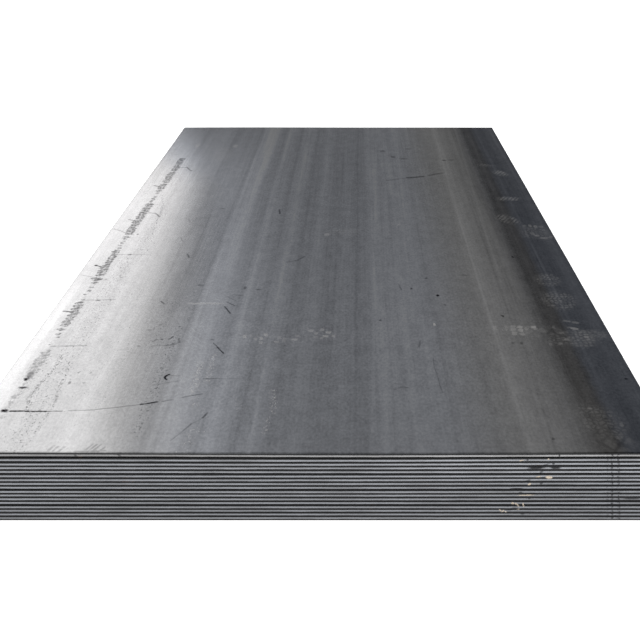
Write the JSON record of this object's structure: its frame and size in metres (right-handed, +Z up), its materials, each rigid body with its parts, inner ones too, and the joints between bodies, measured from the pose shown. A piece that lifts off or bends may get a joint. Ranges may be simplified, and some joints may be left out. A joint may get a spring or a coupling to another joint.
{
  "type": "steel plate stack",
  "caption": "Flush stack of hot-rolled steel plates with sheared edges; each plate is a separate solid that lies loose on the one below.",
  "frame": {"origin": "middle of the stack's outline, on the underside of the bottom plate", "axes": "+Y along the plates' length and rolling direction, +X across their width, +Z up through the stack"},
  "size_m": [1.5256, 3.0498, 0.1681],
  "materials": {
    "rolled_steel": "hot-rolled mill scale on the faces, bare sheared metal on the edges"
  },
  "bodies": {
    "root": {"plate_01": "rolled_steel", "plate_02": "rolled_steel", "plate_03": "rolled_steel", "plate_04": "rolled_steel", "plate_05": "rolled_steel", "plate_06": "rolled_steel", "plate_07": "rolled_steel", "plate_08": "rolled_steel", "plate_09": "rolled_steel", "plate_10": "rolled_steel", "plate_11": "rolled_steel", "plate_12": "rolled_steel", "plate_13": "rolled_steel", "plate_14": "rolled_steel", "plate_15": "rolled_steel", "plate_16": "rolled_steel", "plate_17": "rolled_steel"}
  },
  "joints": []
}
